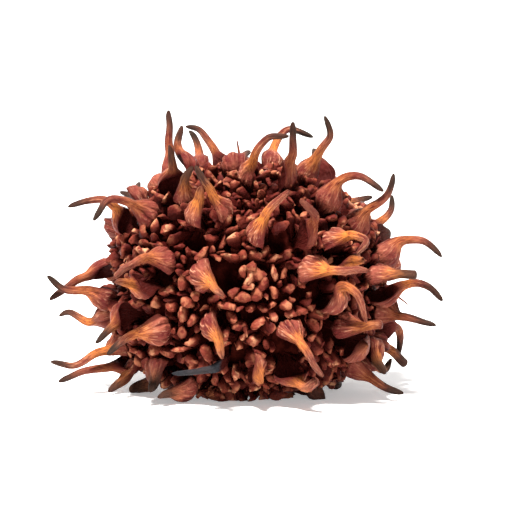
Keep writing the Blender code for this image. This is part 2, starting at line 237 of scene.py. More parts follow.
# The capsules on the viewer's side. Each has two valves, and a valve is its length in mm, its face,
# and the route of its beak: mm to the right and mm up as seen.
NEAR, FAR = Face.NEAR, Face.FAR
SEEN_CAPSULES = {
    "crown_left": ((7.2, FAR, (-7.2, 21.3), (-7.7, 24.4), (-7.7, 28.1)),
                   (5.5, FAR, (-6.1, 21.9), (-7.0, 24.6), (-6.7, 26.4))),
    "crown_arch": ((7.5, FAR, (-2.6, 21.9), (-3.9, 24.9), (-4.9, 26.3), (-6.4, 26.6)),
                   (5.6, FAR, (-4.6, 21.9), (-4.9, 24.4), (-5.9, 26.2))),
    "temple_left": ((4.6, NEAR, (-5.9, 19.2), (-5.9, 20.8), (-5.1, 22.1)),
                    (5.0, NEAR, (-7.2, 20.2), (-7.2, 22.2), (-7.5, 24.2))),
    "brow_left": ((4.4, NEAR, (-4.4, 17.2), (-4.3, 20.0)),
                  (6.0, NEAR, (-2.6, 17.6), (-3.9, 20.2), (-5.0, 22.0))),
    "rim_left_high": ((8.0, NEAR, (-9.6, 17.3), (-11.9, 18.8), (-13.6, 18.7), (-14.7, 16.8)),
                      (8.4, NEAR, (-11.7, 16.5), (-13.2, 18.6), (-15.3, 18.9), (-17.3, 18.0))),
    "thin_left": ((7.0, FAR, (-8.6, 18.5), (-10.7, 19.3), (-13.1, 20.0)),
                  (4.0, FAR, (-8.4, 20.2), (-9.6, 21.0))),
    "cheek_left": ((7.0, NEAR, (-8.0, 12.7), (-10.0, 13.2), (-12.8, 11.4)),
                   (4.8, NEAR, (-9.7, 10.7), (-12.6, 10.9))),
    "rim_left": ((6.8, NEAR, (-13.9, 11.8), (-16.3, 11.2), (-19.6, 9.1)),
                 (6.8, NEAR, (-13.7, 9.4), (-15.9, 10.0), (-18.1, 10.2), (-19.7, 11.4))),
    "rim_left_low": ((6.2, FAR, (-13.5, 7.5), (-15.9, 6.9), (-17.9, 7.8), (-18.9, 7.3)),
                     (3.2, FAR, (-13.4, 9.0), (-15.0, 8.6))),
    "jaw_left": ((5.2, NEAR, (-11.7, 7.6), (-13.3, 6.3), (-14.6, 5.1)),
                 (6.4, NEAR, (-8.4, 6.4), (-11.0, 5.7), (-13.5, 3.9))),
    "low_left": ((8.0, NEAR, (-12.3, 4.3), (-14.9, 3.7), (-17.1, 2.6), (-19.3, 3.0)),
                 (7.2, NEAR, (-12.1, 2.6), (-15.3, 2.3), (-18.7, 1.0))),
    "foot_left": ((3.6, NEAR, (-11.6, 1.3), (-13.8, 0.0)),
                  (3.0, NEAR, (-10.4, 0.9), (-11.6, -0.3))),
    "chin_left": ((3.6, NEAR, (-8.2, 2.4), (-9.4, 0.2)),
                  (4.4, NEAR, (-6.1, 1.0), (-8.6, -0.2))),
    "chin": ((6.0, NEAR, (-1.9, 3.2), (-4.4, 2.4), (-7.1, 2.2)),
             (3.5, NEAR, (0.3, 2.9), (1.6, 1.2))),
    "nose": ((5.0, NEAR, (-3.9, 11.6), (-2.2, 9.6)),
             (4.2, NEAR, (1.0, 10.9), (-1.2, 9.9))),
    "lip": ((4.6, NEAR, (-2.9, 6.9), (-2.5, 5.4), (-2.2, 3.7)),
            (3.6, NEAR, (-1.0, 6.9), (-2.4, 7.6))),
    "brow_right": ((6.4, NEAR, (1.5, 15.4), (1.9, 17.5), (4.1, 19.6)),
                   (6.2, NEAR, (5.2, 15.3), (6.4, 17.2), (5.0, 18.8))),
    "crown": ((7.6, NEAR, (0.4, 21.0), (0.9, 23.4), (2.1, 24.8), (4.1, 25.0)),
              (7.0, NEAR, (3.4, 20.9), (4.3, 23.3), (4.4, 26.4))),
    "crown_back": ((8.0, FAR, (2.3, 22.2), (3.0, 25.0), (4.5, 26.4), (6.6, 25.5)),
                   (4.0, FAR, (0.5, 22.0), (-0.4, 23.6))),
    "crown_right": ((7.4, NEAR, (5.8, 21.2), (7.3, 23.8), (8.2, 25.4), (7.5, 27.0)),
                    (4.6, FAR, (7.6, 21.2), (6.7, 24.2))),
    "temple_right": ((7.4, NEAR, (7.8, 18.6), (9.1, 20.7), (11.0, 21.2), (13.1, 19.6)),
                     (6.6, FAR, (8.9, 18.0), (10.8, 19.1), (12.9, 19.5))),
    "rim_right_high": ((7.4, NEAR, (10.8, 16.5), (11.9, 18.0), (13.7, 19.4), (14.2, 21.5)),
                       (6.8, FAR, (11.9, 15.8), (13.8, 16.9), (14.8, 18.3), (14.9, 19.7))),
    "rim_right": ((7.0, NEAR, (13.3, 13.2), (15.1, 14.7), (17.3, 15.0), (19.3, 13.2)),
                  (3.2, FAR, (13.2, 14.9), (14.4, 16.0))),
    "cheek_right": ((6.4, NEAR, (8.4, 14.5), (10.3, 15.3), (11.4, 14.8), (10.4, 13.6)),
                    (4.2, NEAR, (9.2, 13.1), (11.2, 13.0))),
    "ear_right": ((7.2, NEAR, (6.2, 11.8), (8.3, 12.0), (11.6, 12.0)),
                  (6.8, NEAR, (7.9, 9.2), (9.1, 10.6), (10.5, 9.8), (11.6, 7.1))),
    "rim_right_middle": ((4.6, NEAR, (12.6, 11.2), (14.6, 11.5), (16.6, 11.6)),
                         (6.8, NEAR, (12.9, 9.6), (15.3, 10.7), (17.8, 10.5), (19.2, 9.2))),
    "rim_right_low": ((6.6, NEAR, (13.3, 8.0), (15.8, 7.3), (18.5, 6.6)),
                      (6.2, FAR, (13.5, 6.6), (15.2, 6.1), (15.5, 3.5))),
    "jaw_right": ((4.4, NEAR, (9.4, 6.5), (11.3, 6.6), (13.1, 6.8)),
                  (2.8, NEAR, (10.2, 4.8), (11.6, 4.8))),
    "chin_right": ((6.8, NEAR, (4.0, 6.2), (5.4, 4.6), (7.2, 2.0)),
                   (5.4, NEAR, (4.1, 2.6), (5.7, 0.9), (6.7, 1.7))),
    "foot_right": ((6.0, NEAR, (10.5, 2.9), (12.8, 1.1), (15.3, 0.1)),
                   (4.4, NEAR, (11.8, 4.2), (13.4, 2.0))),
    "low_right": ((5.6, FAR, (12.8, 4.6), (14.4, 3.9), (15.9, 2.4)),
                  (4.6, FAR, (12.6, 3.2), (13.9, 2.1), (14.5, 3.1))),
}

# The knobs that stand out on the viewer's side: mm to the right and mm up as seen, half the length
# and half the width in mm, how far the length is turned up from the right in degrees, and how pale
# the knob is from 0 to 1.
SEEN_KNOBS = (
    (-6.0, 13.1, 0.38, 0.35, 0, 0.5),
    (-5.7, 11.7, 0.45, 0.35, 60, 0.5),
    (-6.2, 10.9, 0.85, 0.42, 85, 0.6),
    (-8.1, 10.0, 0.55, 0.40, 30, 0.9),
    (-7.4, 10.2, 0.50, 0.38, -20, 0.9),
    (-9.0, 9.0, 0.62, 0.45, -15, 0.8),
    (-10.7, 8.9, 1.10, 0.42, 0, 0.4),
    (-7.3, 8.6, 0.60, 0.42, -40, 0.8),
    (-4.9, 9.6, 0.60, 0.42, 70, 0.8),
    (-6.3, 7.8, 0.80, 0.42, 80, 0.9),
    (-5.3, 7.2, 0.65, 0.45, 60, 0.6),
    (-5.7, 8.9, 0.60, 0.50, -50, 0.7),
    (-4.2, 8.4, 0.40, 0.32, 0, 0.5),
    (-3.2, 9.2, 0.80, 0.35, 15, 0.35),
    (-1.8, 8.6, 0.95, 0.40, 0, 0.7),
    (-9.1, 4.2, 0.65, 0.60, 0, 0.9),
    (-11.2, 4.1, 0.50, 0.42, 0, 0.7),
    (-10.7, 2.9, 0.85, 0.34, 85, 0.7),
    (-10.0, 2.7, 0.75, 0.42, 75, 0.4),
    (-5.3, 5.2, 0.65, 0.50, 60, 0.9),
    (-6.3, 4.4, 0.95, 0.30, 15, 0.8),
    (-7.7, 4.0, 0.60, 0.42, 0, 0.4),
    (-3.8, 4.0, 0.85, 0.50, -70, 0.6),
    (-5.4, 3.3, 0.70, 0.38, -40, 0.5),
    (-6.3, 6.0, 0.50, 0.40, 60, 0.3),
    (0.8, 13.5, 0.60, 0.45, -30, 0.85),
    (-0.5, 13.5, 0.50, 0.42, 0, 0.8),
    (2.8, 13.3, 0.80, 0.42, 15, 0.95),
    (2.7, 11.9, 0.75, 0.40, -70, 0.9),
    (3.7, 11.7, 0.50, 0.30, -70, 0.6),
    (2.7, 9.9, 0.65, 0.32, -70, 0.6),
    (3.9, 10.2, 0.50, 0.45, 0, 0.3),
    (2.4, 8.6, 0.60, 0.35, 60, 0.7),
    (3.7, 8.6, 0.65, 0.42, 10, 0.75),
    (4.4, 9.2, 0.40, 0.30, 40, 0.6),
    (5.2, 8.1, 0.60, 0.42, 20, 0.85),
    (5.8, 9.1, 0.50, 0.30, 10, 0.35),
    (6.1, 8.5, 0.50, 0.35, -30, 0.6),
    (6.4, 6.8, 0.65, 0.35, -60, 0.6),
    (7.0, 6.9, 0.60, 0.32, 80, 0.5),
    (1.1, 6.9, 0.70, 0.42, 35, 0.85),
    (0.7, 5.2, 0.62, 0.55, 0, 0.95),
    (-0.8, 6.7, 0.70, 0.45, 0, 0.35),
    (1.9, 4.8, 0.55, 0.32, 80, 0.5),
    (2.2, 3.1, 0.45, 0.42, 0, 0.35),
    (0.3, 3.4, 1.00, 0.42, 65, 0.4),
    (1.2, 1.1, 0.45, 0.40, 0, 0.7),
    (2.6, 1.4, 0.75, 0.42, -50, 0.5),
    (-1.6, 7.4, 0.60, 0.40, -40, 0.5),
    # The lobes of the valve that is curled up.
    (-0.4, 11.9, 0.60, 0.50, 60, 0.8),
    (0.4, 12.2, 0.65, 0.52, 10, 0.6),
    (1.2, 11.6, 0.75, 0.62, -50, 0.5),
    (1.6, 10.6, 0.75, 0.62, 80, 0.4),
    (1.0, 9.7, 0.72, 0.60, 35, 0.5),
    (-0.2, 9.4, 0.80, 0.55, -5, 0.6),
    (-1.3, 9.9, 0.65, 0.45, 40, 0.5),
    (0.3, 11.2, 0.80, 0.40, 70, 1.0),
    (0.2, 10.5, 0.50, 0.34, 20, 1.0),
)

# The bits of needle: where each starts and ends, mm to the right and mm up as seen.
NEEDLES = (
    ((13.4, 10.3), (15.9, 8.6)),
    ((-0.6, 22.4), (-1.0, 24.9)),
)


@dataclass
class Valve:
    """One valve of a capsule: the route from its base to its tip, and what sets it apart."""

    points: list[Vector]
    partner: Vector
    blunt: bool = False
    weathered: bool = False
    curled: bool = False
    vivid: bool = False
    dull: bool = False

    @property
    def base(self) -> Vector:
        """Where the valve leaves the body's surface."""
        return self.points[0]


@dataclass(frozen=True)
class CapsuleLayout:
    """Places every capsule: the seen ones as listed, the others by even spacing with a fixed seed."""

    seed: int = 23
    in_view: float = 0.2
    site_tries: int = 400
    spacing: float = 4.75 * MM
    half_opening: float = 1.45 * MM
    beak_lengths: tuple[float, float] = (4.8 * MM, 7.4 * MM)
    beak_curls: tuple[float, float] = (0.15, 0.55)
    beak_sway: float = math.radians(45)
    bend_rise: float = 0.55
    bend_lean: float = 0.12
    curl_drop: float = 0.55
    climb_power: float = 0.6
    outline_margin: float = 1.2 * MM
    backward_leans: tuple[float, ...] = (0, 0.3, 0.6, 1, 1.6, 2.5, 4)
    steepest_drop: float = 0.3
    underside_shortening: float = 0.75
    shortest_share: float = 0.3
    ground_clearance: float = 0.45 * MM
    blunt: frozenset[tuple[str, int]] = frozenset(
        {("jaw_right", 0), ("rim_right_middle", 0), ("low_right", 0), ("chin_right", 1)}
    )
    weathered: frozenset[tuple[str, int]] = frozenset({("chin", 0)})
    curled: frozenset[tuple[str, int]] = frozenset({("nose", 1), ("lip", 1)})
    vivid: frozenset[tuple[str, int]] = frozenset(
        {("brow_right", 0), ("crown_back", 0), ("ear_right", 0), ("nose", 0), ("lip", 0), ("cheek_left", 1),
         ("brow_left", 0), ("brow_left", 1), ("low_left", 0), ("cheek_right", 0)}
    )
    dull: frozenset[tuple[str, int]] = frozenset(
        {("foot_right", 0), ("jaw_right", 1), ("chin_left", 1), ("crown", 1), ("rim_right_low", 0)}
    )

    def above_ground(self, point: Vector) -> Vector:
        """The point, raised where it would lie in the ground."""
        return Vector((point.x, point.y, max(point.z, self.ground_clearance)))

    def seen_route(self, length: float, face: Face, *places: tuple[float, float]) -> list[Vector]:
        """A seen valve's route in space. What its length in the picture lacks, it climbs in depth.

        Args:
            length: the beak's true length in mm.
            face: the face that it grows on.
            places: mm to the right and mm up of each point, from the base to the tip.

        Returns:
            The route's points.
        """
        flat = [Vector(place) * MM for place in places]
        steps = [(after - before).length for before, after in zip(flat, flat[1:])]
        climb = math.sqrt(max((length * MM) ** 2 - sum(steps) ** 2, 0))
        base = BODY.seen_at(flat[0].x, flat[0].y, face)
        depth, run, route = base.dot(VIEW.toward), 0.0, [base]
        for spot, step in zip(flat[1:], steps):
            run += step
            share = (run / sum(steps)) ** self.climb_power
            route.append(self.above_ground(VIEW.place(spot.x, spot.y, depth + face.value * climb * share)))
        return route

    def grown_route(self, rng: random.Random, centre: Vector, normal: Vector, away: Vector,
                    side: Vector) -> list[Vector]:
        """The route of a valve that leans away from its partner and, past the outline, from the viewer.

        Args:
            rng: the source of its draws.
            centre: the middle of its capsule on the surface.
            normal: the surface normal there.
            away: the direction along the surface from the partner to this valve.
            side: the direction along the surface at right angles to it.

        Returns:
            The base, the bend and the tip.
        """
        base = BODY.surface((centre + away * self.half_opening - BODY.middle).normalized())
        length = rng.uniform(*self.beak_lengths)
        sway = rng.gauss(0, self.beak_sway)
        curl = rng.uniform(*self.beak_curls)
        lean = away * math.cos(sway) + side * math.sin(sway)
        if normal.z < -self.steepest_drop:
            length *= max(self.shortest_share, 1 + normal.z * self.underside_shortening)
            lean = Vector((normal.x, normal.y, 0)).normalized()
        for backward in self.backward_leans:
            rise = normal - VIEW.toward * backward
            rise.z = max(rise.z, -self.steepest_drop * rise.length)
            rise.normalize()
            bend = base + (rise * self.bend_rise + lean * self.bend_lean) * length
            tip = base + (rise * (1 - self.curl_drop * curl) + lean * curl) * length
            if BODY.beyond_outline(tip) < self.outline_margin:
                break
        return [base, self.above_ground(bend), self.above_ground(tip)]

    def seen(self) -> list[tuple[Valve, Valve]]:
        """The capsules that the viewer sees."""
        capsules = []
        for name, pair in SEEN_CAPSULES.items():
            routes = [self.seen_route(*valve) for valve in pair]
            valves = []
            for number, (route, other) in enumerate(zip(routes, reversed(routes))):
                key = (name, number)
                groups = (self.blunt, self.weathered, self.curled, self.vivid, self.dull)
                valves.append(Valve(route, other[0], *(key in group for group in groups)))
            capsules.append(tuple(valves))
        return capsules

    def grown(self, seen: list[tuple[Valve, Valve]]) -> list[tuple[Valve, Valve]]:
        """The capsules of the other sides, evenly between those already there."""
        taken = [(one.base + other.base) / 2 for one, other in seen]
        taken.append(Vector((0, 0, 0)))
        rng = random.Random(self.seed)
        capsules = []
        while True:
            best, gap = None, 0.0
            for _ in range(self.site_tries):
                direction = random_direction(rng)
                if BODY.outward(direction).dot(VIEW.toward) > self.in_view:
                    continue
                spot = BODY.surface(direction)
                nearest = min((spot - other).length for other in taken)
                if nearest > gap:
                    best, gap = direction, nearest
            if gap < self.spacing:
                return capsules
            centre, normal = BODY.surface(best), BODY.outward(best)
            away, side = tangent_frame(normal, rng.uniform(0, math.pi))
            taken.append(centre)
            one = self.grown_route(rng, centre, normal, away, side)
            other = self.grown_route(rng, centre, normal, -away, side)
            capsules.append((Valve(one, other[0]), Valve(other, one[0])))


# Node trees


def operator(operation: str, reflected: bool = False) -> Callable[[Signal, Operand], Signal]:
    """A method of a signal that adds the node of an operation, or of its reflected form."""

    def operate(self: Signal, other: Operand) -> Signal:
        first, second = (other, self) if reflected else (self, other)
        return self.graph.calculate(operation, first, second)

    return operate


class Signal:
    """An output socket that takes part in arithmetic. Each operator adds its node to the tree."""

    def __init__(self, graph: Graph, socket: bpy.types.NodeSocket) -> None:
        """Wraps a socket of the graph."""
        self.graph = graph
        self.socket = socket

    @property
    def is_vector(self) -> bool:
        """Whether the socket carries a vector."""
        return self.socket.type == "VECTOR"

    __add__ = operator("ADD")
    __radd__ = operator("ADD", reflected=True)
    __sub__ = operator("SUBTRACT")
    __rsub__ = operator("SUBTRACT", reflected=True)
    __mul__ = operator("MULTIPLY")
    __rmul__ = operator("MULTIPLY", reflected=True)
    __truediv__ = operator("DIVIDE")
    __pow__ = operator("POWER")
    at_least = operator("MAXIMUM")
    at_most = operator("MINIMUM")

    def __neg__(self) -> Signal:
        """-self."""
        return self.graph.calculate("MULTIPLY", self, -1.0)

    def eased(self, low: float, high: float) -> Signal:
        """0 at low, 1 at high and a smooth step between them. low may be the higher one."""
        flip = low > high
        low, high = sorted((low, high))
        values = {"Value": self, "From Min": low, "From Max": high}
        step = self.graph.out("ShaderNodeMapRange", {"interpolation_type": "SMOOTHSTEP"}, values)
        return 1 - step if flip else step

    def applied(self, function: str) -> Signal:
        """A Math function of one value, such as SINE or ABSOLUTE."""
        return self.graph.out("ShaderNodeMath", {"operation": function}, {0: self})


Operand = Signal | float | Triple


@dataclass
class Graph:
    """A shader or geometry tree under construction."""

    tree: bpy.types.NodeTree

    def node(self, kind: str, settings: dict | None = None, values: dict | None = None) -> bpy.types.Node:
        """Adds a node.

        Args:
            kind: the node's type.
            settings: its properties, set first.
            values: a number, vector, colour, item or Signal for each input, by name or index.

        Returns:
            The node.
        """
        made = self.tree.nodes.new(kind)
        for name, value in (settings or {}).items():
            setattr(made, name, value)
        for key, value in (values or {}).items():
            socket = made.inputs[key]
            if isinstance(value, Signal):
                self.tree.links.new(value.socket, socket)
            else:
                socket.default_value = value
        return made

    def out(self, kind: str, settings: dict | None = None, values: dict | None = None,
            output: str | int = 0) -> Signal:
        """Adds a node and gives one of its outputs as a Signal."""
        return Signal(self, self.node(kind, settings, values).outputs[output])

    def calculate(self, operation: str, first: Operand, second: Operand) -> Signal:
        """Arithmetic on two operands, by Math, or by Vector Math where one is a vector."""
        vectors = [operand.is_vector if isinstance(operand, Signal) else isinstance(operand, tuple)
                   for operand in (first, second)]
        if not any(vectors):
            return self.out("ShaderNodeMath", {"operation": operation}, {0: first, 1: second})
        if all(vectors):
            return self.out("ShaderNodeVectorMath", {"operation": operation}, {0: first, 1: second})
        vector, number = (first, second) if vectors[0] else (second, first)
        if operation == "DIVIDE":
            number = 1 / number
        return self.out("ShaderNodeVectorMath", {"operation": "SCALE"}, {0: vector, "Scale": number})

    def mix(self, share: Operand, first: Signal | Colour, second: Signal | Colour) -> Signal:
        """Blends two colours."""
        first, second = (end if isinstance(end, Signal) else (*end, 1) for end in (first, second))
        return self.out("ShaderNodeMix", {"data_type": "RGBA"}, {0: share, 6: first, 7: second}, 2)

    def noise(self, place: Signal, scale: Operand, detail: float, output: str = "Fac") -> Signal:
        """Noise between 0 and 1: a number, or a vector where the output is Color."""
        values = {"Vector": place, "Scale": scale, "Detail": detail}
        return self.out("ShaderNodeTexNoise", {"noise_dimensions": "3D"}, values, output)


class Growth(Graph):
    """A Geometry Nodes tree that turns a bare mesh into a grown one."""

    def __init__(self, piece: CapsuleValves | Knobs, *labels: str) -> None:
        """Starts a tree.

        Args:
            piece: what the tree grows.
            labels: which of the piece's sizes are inputs of the tree, with the same names.
        """
        super().__init__(bpy.data.node_groups.new(piece.name + "_growth", "GeometryNodeTree"))
        face = self.tree.interface
        face.new_socket("Geometry", in_out="INPUT", socket_type="NodeSocketGeometry")
        face.new_socket("Geometry", in_out="OUTPUT", socket_type="NodeSocketGeometry")
        self.sizes = {label: getattr(piece, label) for label in labels}
        for label, value in self.sizes.items():
            kind = "NodeSocketInt" if isinstance(value, int) else "NodeSocketFloat"
            face.new_socket(label, in_out="INPUT", socket_type=kind)
        self.inputs = self.tree.nodes.new("NodeGroupInput")

    def size(self, label: str) -> Signal:
        """One of the tree's named inputs."""
        return Signal(self, self.inputs.outputs[label])

    def read(self, name: str, kind: str = "FLOAT") -> Signal:
        """A named attribute of the mesh."""
        return self.out("GeometryNodeInputNamedAttribute", {"data_type": kind}, {"Name": name})

    def store(self, geometry: Signal, name: str, value: Signal, kind: str = "FLOAT") -> Signal:
        """Keeps a value on the mesh's points for the material."""
        return self.out("GeometryNodeStoreNamedAttribute", {"data_type": kind, "domain": "POINT"},
                        {"Geometry": geometry, "Name": name, "Value": value})

    def vectors(self, operation: str, first: Signal, second: Triple) -> Signal:
        """A Vector Math node on a vector and fixed numbers."""
        return self.out("ShaderNodeVectorMath", {"operation": operation}, {0: first, 1: second})

    def moved(self, geometry: Signal, **values: Signal) -> Signal:
        """The geometry with its points at a Position or shifted by an Offset."""
        return self.out("GeometryNodeSetPosition", values={"Geometry": geometry, **values})

    def finish(self, geometry: Signal, material: bpy.types.Material) -> None:
        """Ends the tree in real faces, worn almost flat at the ground, with the material on them."""
        real = self.out("GeometryNodeRealizeInstances", values={"Geometry": geometry})
        place = self.out("GeometryNodeInputPosition")
        above = self.vectors("MAXIMUM", place, (-1.0, -1.0, 0.0))
        worn = self.moved(real, Position=above + (place - above) * UNWORN_SHARE)
        dressed = self.out("GeometryNodeSetMaterial", values={"Geometry": worn, "Material": material})
        last = self.tree.nodes.new("NodeGroupOutput")
        self.tree.links.new(dressed.socket, last.inputs[0])

    def grow(self, name: str, mesh: bpy.types.Mesh) -> bpy.types.Object:
        """Runs the tree on a mesh.

        Args:
            name: the new piece's name.
            mesh: the bare mesh with the tree's attributes.

        Returns:
            The piece, a plain mesh whose faces point outwards.
        """
        piece = placed(name, mesh)
        modifier = piece.modifiers.new("growth", "NODES")
        modifier.node_group = self.tree
        for item in self.tree.interface.items_tree:
            if item.in_out == "INPUT" and item.name in self.sizes:
                modifier[item.identifier] = self.sizes[item.name]
        view = bpy.context.evaluated_depsgraph_get()
        grown = bpy.data.meshes.new_from_object(piece.evaluated_get(view))
        piece.modifiers.clear()
        shape = bmesh.new()
        shape.from_mesh(grown)
        bmesh.ops.recalc_face_normals(shape, faces=shape.faces)
        shape.to_mesh(grown)
        shape.free()
        grown.shade_smooth()
        piece.data = grown
        return piece


def bare_mesh(name: str, rows: list[dict[str, Any]], edges: Sequence[tuple[int, int]]) -> bpy.types.Mesh:
    """A mesh of points and edges for a tree to grow on.

    Args:
        name: the mesh's name.
        rows: each point's place and other named values, each one number or one vector.
        edges: the pairs of points that are joined.

    Returns:
        The mesh.
    """
    mesh = bpy.data.meshes.new(name)
    mesh.from_pydata([row["place"] for row in rows], edges, [])
    for label in rows[0]:
        numbers = np.array([row[label] for row in rows], dtype=np.float32)
        kind, part = ("FLOAT", "value") if numbers.ndim == 1 else ("FLOAT_VECTOR", "vector")
        mesh.attributes.new(label, kind, "POINT").data.foreach_set(part, numbers.ravel())
    return mesh


def placed(name: str, data: bpy.types.ID) -> bpy.types.Object:
    """A new object of the scene."""
    made = bpy.data.objects.new(name, data)
    bpy.context.scene.collection.objects.link(made)
    return made


def modelled(name: str, shape: bmesh.types.BMesh, material: bpy.types.Material) -> bpy.types.Object:
    """A new smooth object of a modelled shape and one material."""
    mesh = bpy.data.meshes.new(name)
    shape.to_mesh(mesh)
    shape.free()
    mesh.materials.append(material)
    mesh.shade_smooth()
    return placed(name, mesh)


# Finishes


@dataclass(frozen=True)
class DryWood:
    """Dry sweetgum wood on the valves: maroon flanks, orange ridges and necks, blackened beak tips, pale
    threads of painted highlight on the ridges, and painted shade on the edges, the inner sides, the grooves
    and the roots.
    """

    maroon: Colour = (0.098, 0.0145, 0.013)
    russet: Colour = (0.19, 0.048, 0.031)
    orange: Colour = (0.38, 0.140, 0.072)
    neck: Colour = (0.54, 0.165, 0.032)
    # thread is a painted highlight: pale grain lines on the ridges.
    thread_highlight: Colour = (0.61, 0.30, 0.190)
    # shade and pit are painted shade: shade on the valves' edges, pit deep inside them, at their sunk roots
    # and in the grooves there.
    shade: Colour = (0.062, 0.0085, 0.007)
    pit: Colour = (0.032, 0.0038, 0.0028)
    tip: Colour = (0.034, 0.020, 0.015)
    grey: Colour = (0.020, 0.028, 0.034)
    streak_scale: float = 2.6
    thread_scale: float = 8.0
    blotch_scale: float = 520.0
    grit_scale: float = 2400.0
    relief_depth: float = 0.28 * MM

    def material(self) -> bpy.types.Material:
        """Builds the material from the valves' attributes."""
        material, graph, shader = new_material("valve_wood")
        fine = graph.out("ShaderNodeAttribute", {"attribute_name": "grain_place"}, output="Vector")
        names = ("tone", "rise", "tip_gap", "inside_shade", "groove", "weathered", "burning")
        tone, rise, tip_gap, inside_shade, groove, weathered, burning = map(graph.attribute_value, names)
        outer_side = Signal(graph, graph.node("ShaderNodeSeparateXYZ", values={0: fine}).outputs[1])
        streaks = graph.noise(fine, self.streak_scale, 5)
        threads = graph.noise(fine, self.thread_scale, 3)
        blotches = graph.noise(graph.object_place(), self.blotch_scale, 3)

        flank = graph.mix(blotches.eased(0.35, 0.65), self.maroon, self.russet)
        # The ridges: orange grain by random tone, more of it higher up, kept off the grooves so that the
        # grooves stay darker as painted shade.
        warmth = (0.3 + 0.6 * tone) * (0.45 + 0.55 * rise.eased(0.3, 2.0))
        ridge_grain_and_light = (1 - groove) * streaks.eased(0.42, 0.66) * threads.eased(0.34, 0.56) * warmth
        warm_ridge = graph.mix(ridge_grain_and_light, flank, self.orange)
        # Painted highlight: pale grain threads along the ridges.
        thread_highlight = threads.eased(0.56, 0.68) * (1 - groove) * (0.15 + 0.4 * tone)
        lit = graph.mix(thread_highlight, warm_ridge, self.thread_highlight)
        saddle = rise.eased(1.1, 2.5) * rise.eased(4.8, 2.9) * threads.eased(0.32, 0.6) * (0.2 + 0.7 * tone)
        warm = graph.mix(saddle, lit, self.neck)
        # Painted shade: the edges of each valve darken low down, towards the opening.
        edge = outer_side.eased(0.6, 0.0) * rise.eased(3.6, 1.8) * 0.75
        shaded = graph.mix(edge, warm, self.shade)
        # Painted shade: the inner sides turn maroon, and near black deep down in hollow.
        shaded_lining = graph.mix(inside_shade * 0.6, shaded, self.maroon)
        hollow = graph.mix(inside_shade * rise.eased(2.2, 0.4) * 0.92, shaded_lining, self.pit)
        # Painted shade: near black where the valve sinks into the body, and in its grooves near the root.
        sunk_shade = rise.eased(0.5, -1.3) * 0.9
        root_shaded = graph.mix((sunk_shade + groove * 0.75 * rise.eased(2.6, 0.6)).eased(0, 1), hollow, self.pit)
        burnt = (tip_gap + (streaks - 0.5) * 1.6).eased(3.2, 0.9)
        tipped = graph.mix(burnt * burning, root_shaded, self.tip)
        colour = graph.mix(weathered * rise.eased(0.4, 1.4) * 0.92, tipped, self.grey)
        relief = threads * 0.8 + graph.noise(graph.object_place(), self.grit_scale, 4) * 0.7
        graph.dress(shader, colour, 0.36 + 0.3 * streaks, relief, self.relief_depth)
        return material


@dataclass(frozen=True)
class KnobWood:
    """The knobs' wood: orange-brown crests of painted highlight that go down into dark red roots of painted
    shade.
    """

    # root is painted shade low on every knob; the crest and pale colours are painted highlights on its top.
    root: Colour = (0.034, 0.0038, 0.0028)
    maroon: Colour = (0.082, 0.0115, 0.0085)
    russet: Colour = (0.150, 0.029, 0.017)
    lit_crest: Colour = (0.36, 0.126, 0.062)
    pale: Colour = (0.48, 0.225, 0.120)
    speck_scale: float = 1300.0
    grit_scale: float = 2600.0
    relief_depth: float = 0.24 * MM

    def material(self) -> bpy.types.Material:
        """Builds the material from the knobs' attributes."""
        material, graph, shader = new_material("knob_wood")
        lit_crest = graph.attribute_value("lit_crest")
        tone = graph.attribute_value("tone")
        place = graph.object_place()
        specks = graph.noise(place, self.speck_scale, 4)
        flank = graph.mix(tone.eased(0.15, 0.75), self.maroon, self.russet)
        # Painted shade: every knob goes down into the near-black root colour in body.
        body = graph.mix(lit_crest.eased(0.34, 0.84), self.root, flank)
        # Painted highlight: the crest and pale colours on the top of each knob, broken up by specks, in
        # crown.
        crest_highlight = lit_crest.eased(0.6, 0.95) * (0.1 + 0.9 * tone) * specks.eased(0.44, 0.6)
        crown = graph.mix(tone.eased(0.5, 1.0), self.lit_crest, self.pale)
        colour = graph.mix(crest_highlight, body, crown)
        relief = graph.noise(place, self.grit_scale, 4)
        graph.dress(shader, colour, 0.38 + 0.25 * specks, relief, self.relief_depth)
        return material


@dataclass(frozen=True)
class CoreWood:
    """The wood of the core and of the openings, near black as painted shade in the gaps."""

    deep: Colour = (0.014, 0.0018, 0.0013)
    red: Colour = (0.052, 0.0075, 0.005)
    patch_scale: float = 700.0
    grit_scale: float = 2200.0
    relief_depth: float = 0.1 * MM

    def material(self) -> bpy.types.Material:
        """Builds the material."""
        material, graph, shader = new_material("core_painted_shade")
        patches = graph.noise(graph.object_place(), self.patch_scale, 4)
        colour = graph.mix(patches.eased(0.42, 0.7), self.deep, self.red)
        relief = graph.noise(graph.object_place(), self.grit_scale, 3)
        graph.dress(shader, colour, 0.6 + 0.2 * patches, relief, self.relief_depth, sheen=0)
        return material


class ShaderGraph(Graph):
    """A material's tree with the few inputs that this ball's finishes share."""

    def attribute_value(self, name: str) -> Signal:
        """A number that the mesh carries."""
        return self.out("ShaderNodeAttribute", {"attribute_name": name}, output="Fac")

    def object_place(self) -> Signal:
        """The point's place on the ball."""
        return self.out("ShaderNodeTexCoord", output="Object")

    def dress(self, shader: bpy.types.Node, colour: Signal, roughness: Signal, relief: Signal,
              depth: float, sheen: float = SHEEN) -> None:
        """Joins colour, roughness and relief to the shader.

        Args:
            shader: the Principled shader.
            colour: its base colour.
            roughness: its roughness.
            relief: the height of the surface, from 0 to 1.
            depth: how far apart those heights are.
            sheen: how much it mirrors the light.
        """
        bump = self.out("ShaderNodeBump", values={"Strength": 1.0, "Distance": depth, "Height": relief})
        for label, signal in (("Base Color", colour), ("Roughness", roughness), ("Normal", bump)):
            self.tree.links.new(signal.socket, shader.inputs[label])
        shader.inputs["Specular IOR Level"].default_value = sheen


